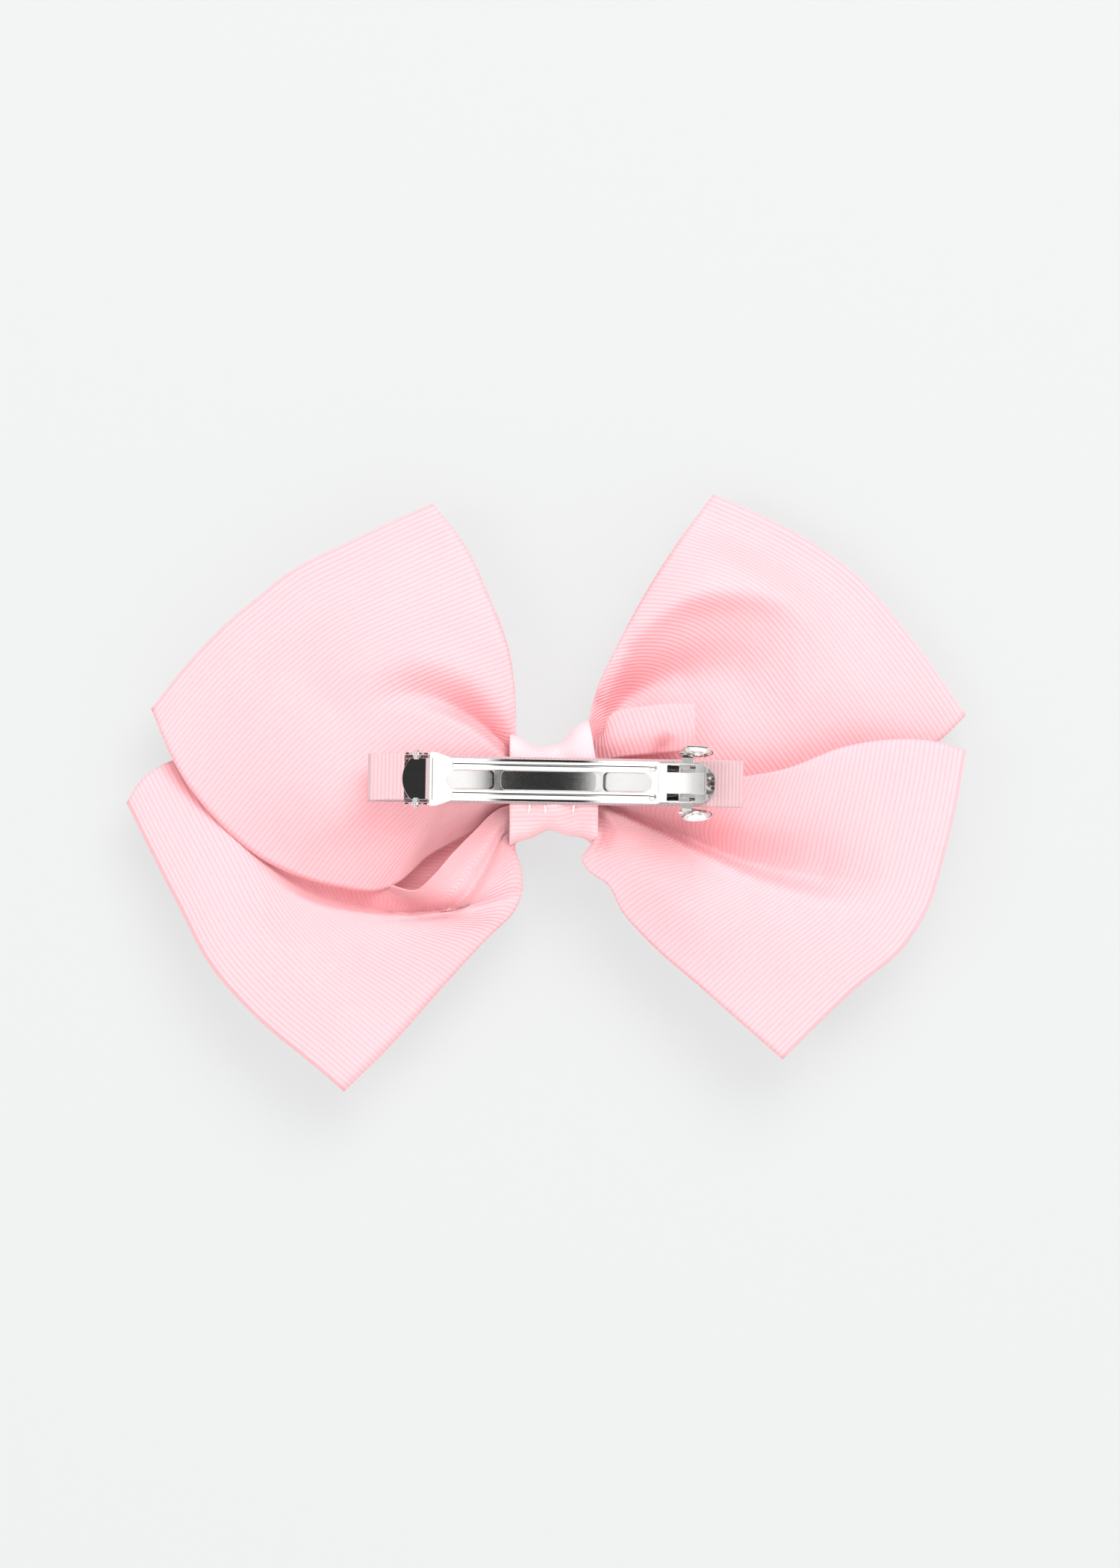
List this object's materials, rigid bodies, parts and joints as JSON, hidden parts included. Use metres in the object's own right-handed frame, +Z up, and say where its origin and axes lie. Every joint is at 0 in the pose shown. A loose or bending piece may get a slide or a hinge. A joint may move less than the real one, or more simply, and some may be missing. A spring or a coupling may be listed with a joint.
{
  "type": "hair bow barrette",
  "caption": "Pinwheel hair bow of wide ribbed ribbon with a wrapped knot, stitched to a ribbon-lined spring barrette with a hinged lever and squeeze catch.",
  "frame": {"origin": "middle of the gap between the lever and the tension leaf, where the hair goes, at the clip's mid length", "axes": "+X along the clip toward its catch, +Y toward the bow's decorative face, +Z up across the clip"},
  "size_m": [0.1754, 0.0349, 0.1262],
  "materials": {
    "plated_steel": "polished",
    "spring_steel": "polished",
    "grosgrain_pink": "ribbed matte",
    "lining_pink": "ribbed matte",
    "thread_white": "matte"
  },
  "bodies": {
    "bow": {"base_plate": "plated_steel", "catch_bridge": "spring_steel", "catch_rivet": "plated_steel", "lining_ribbon": "lining_pink", "knot_band": "grosgrain_pink", "centre_near": "grosgrain_pink", "centre_far": "grosgrain_pink", "gathering_thread": "thread_white", "stitch_left": "thread_white", "stitch_middle": "thread_white", "stitch_right": "thread_white", "loop_ul_back": "grosgrain_pink", "loop_ul_front": "grosgrain_pink", "loop_lr_back": "grosgrain_pink", "loop_lr_front": "grosgrain_pink", "loop_ll_back": "grosgrain_pink", "loop_ll_front": "grosgrain_pink", "loop_ur_back": "grosgrain_pink", "loop_ur_front": "grosgrain_pink", "ribbon_tail": "grosgrain_pink"},
    "lever": {"lever": "plated_steel"},
    "tension_leaf": {"tension_leaf": "spring_steel"},
    "wing_upper": {"wing_upper": "spring_steel"},
    "wing_lower": {"wing_lower": "spring_steel"}
  },
  "joints": [
    {"name": "lever_hinge", "type": "hinge", "parent": "bow", "child": "lever", "pos_m": [-0.0293, -0.0033, 0], "axis": [0, 0, -1], "range_deg": [0, 100]},
    {"name": "wing_upper_squeeze", "type": "hinge", "parent": "bow", "child": "wing_upper", "pos_m": [0.02773, 0.00051, 0.00325], "axis": [0.9643, -0.2648, 0], "range_deg": [0, 5], "stiffness_Nm_per_rad": 0.05},
    {"name": "wing_lower_squeeze", "type": "hinge", "parent": "bow", "child": "wing_lower", "pos_m": [0.02773, 0.00051, -0.00325], "axis": [-0.9643, 0.2648, 0], "range_deg": [0, 5], "stiffness_Nm_per_rad": 0.05},
    {"name": "leaf_flex", "type": "hinge", "parent": "bow", "child": "tension_leaf", "pos_m": [-0.0272, 0.0006, 0], "axis": [0, 0, 1], "range_deg": [0, 0.9], "stiffness_Nm_per_rad": 0.05}
  ],
  "couplings": [
    {"joint": "wing_lower_squeeze", "follows": "wing_upper_squeeze", "ratio": 1}
  ]
}
